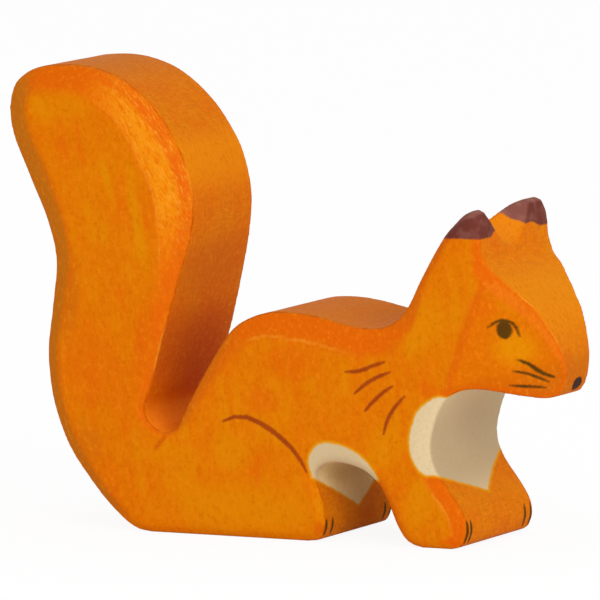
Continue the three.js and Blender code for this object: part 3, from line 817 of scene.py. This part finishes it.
# The paints: a thin one has its tone, the lighter tone where it is thinned and where it takes painted
# light, and how strong it is.
PAINTS = {
    "white_paint": white_paint,
    "brown_paint": thin_paint(linear(104, 51, 45), linear(158, 104, 94), 0.97, EAR_CORNERS),
    "umber_paint": thin_paint(linear(152, 58, 16), linear(176, 76, 20), 0.92),
    "black_paint": thin_paint(linear(70, 50, 12), linear(96, 66, 16), 0.94),
}
NOSE_PAINT = thin_paint(linear(44, 36, 34), linear(66, 52, 44), 0.96)


def dress(piece_name, mesh, material, node_name):
    """Makes a piece of the object that stands for one CAD node."""
    piece = bpy.data.objects.new(piece_name, mesh)
    bpy.context.scene.collection.objects.link(piece)
    mesh.materials.append(material)
    mesh.shade_smooth()
    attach(piece, "root")
    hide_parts(node_name)


def build_camera():
    """A long lens at the photograph's angle."""
    back = Vector((
        math.sin(VIEW_AZIMUTH) * math.cos(VIEW_HEIGHT),
        -math.cos(VIEW_AZIMUTH) * math.cos(VIEW_HEIGHT),
        math.sin(VIEW_HEIGHT),
    ))
    lens = bpy.data.cameras.new("camera")
    lens.sensor_width = SENSOR
    lens.lens = VIEW_LENS
    camera = bpy.data.objects.new("camera", lens)
    camera.location = VIEW_TARGET + back * VIEW_DISTANCE
    camera.rotation_euler = back.to_track_quat("Z", "Y").to_euler()
    bpy.context.scene.collection.objects.link(camera)
    bpy.context.scene.camera = camera


def any_view_ray(shader):
    """1 for rays that show the background: those of the camera, and mirrored or refracted ones."""
    paths = shader.node("LightPath").outputs
    mirrored = shader.math("MAXIMUM", paths["Is Glossy Ray"], paths["Is Transmission Ray"])
    return shader.math("MAXIMUM", paths["Is Camera Ray"], mirrored)


def build_world():
    """A white world, which lights the object softly from all round."""
    world = bpy.data.worlds.new("studio")
    world.use_nodes = True
    bpy.context.scene.world = world
    shader = Shader(world.node_tree)
    strength = shader.span(any_view_ray(shader), 0, 1, AMBIENT, 1)
    background = shader.node("Background", {"Color": WHITE_LIGHT, "Strength": strength})
    shader.node("OutputWorld", {"Surface": background.outputs[0]})


def build_floor():
    """A white floor, which keeps a faint shadow."""
    mesh = bpy.data.meshes.new("floor")
    half = FLOOR_SIZE / 2
    corners = [(-half, -half, 0), (half, -half, 0), (half, half, 0), (-half, half, 0)]
    mesh.from_pydata(corners, [], [(0, 1, 2, 3)])
    floor = bpy.data.objects.new("floor", mesh)
    bpy.context.scene.collection.objects.link(floor)
    material = bpy.data.materials.new("white_floor")
    material.use_nodes = True
    shader = Shader(material.node_tree)
    paper = shader.node("BsdfDiffuse", {"Color": (FLOOR_TONE, FLOOR_TONE, FLOOR_TONE, 1)})
    glow = shader.node("Emission", {"Color": WHITE_LIGHT, "Strength": FLOOR_WHITE})
    share = shader.math("MULTIPLY", any_view_ray(shader), FLOOR_GLOW)
    mixed = shader.node("MixShader", {"Fac": share})
    shader.feed(mixed.inputs[1], paper.outputs[0])
    shader.feed(mixed.inputs[2], glow.outputs[0])
    shader.node("OutputMaterial", {"Surface": mixed.outputs[0]})
    mesh.materials.append(material)


def build_lamp():
    """One broad lamp in front of the object, to its right and above it."""
    lamp = bpy.data.lights.new("soft_lamp", "AREA")
    lamp.energy = KEY_POWER
    lamp.size = KEY_SIZE
    key = bpy.data.objects.new("soft_lamp", lamp)
    key.location = VIEW_TARGET + KEY_PLACE
    key.rotation_euler = KEY_PLACE.to_track_quat("Z", "Y").to_euler()
    bpy.context.scene.collection.objects.link(key)


bpy.context.scene.view_settings.view_transform = "Standard"
build_camera()
build_world()
build_floor()
build_lamp()

# A material for each slot, and one for the nose, whose paint is darker than the other black paint.
orange_stain = stain_group()
materials = {"stained_wood": surface("stained_wood", orange_stain, bare_wood)}
materials.update({slot: surface(slot, orange_stain, fill) for slot, fill in PAINTS.items()})
materials["nose"] = surface("nose_paint", orange_stain, NOSE_PAINT)

board = Wood(frame["nodes"]["carved_body"])
dress("stained_wood", board.mesh, materials["stained_wood"], "carved_body")
for subpart in frame["record"]["subparts"]:
    slot = subpart["material_slot"]
    if slot in PAINTS:
        node_name = subpart["node"]
        film = Film(frame["nodes"][node_name], board, slot)
        paint = materials.get(node_name, materials[slot])
        dress("painted_" + node_name, film.lay(), paint, node_name)
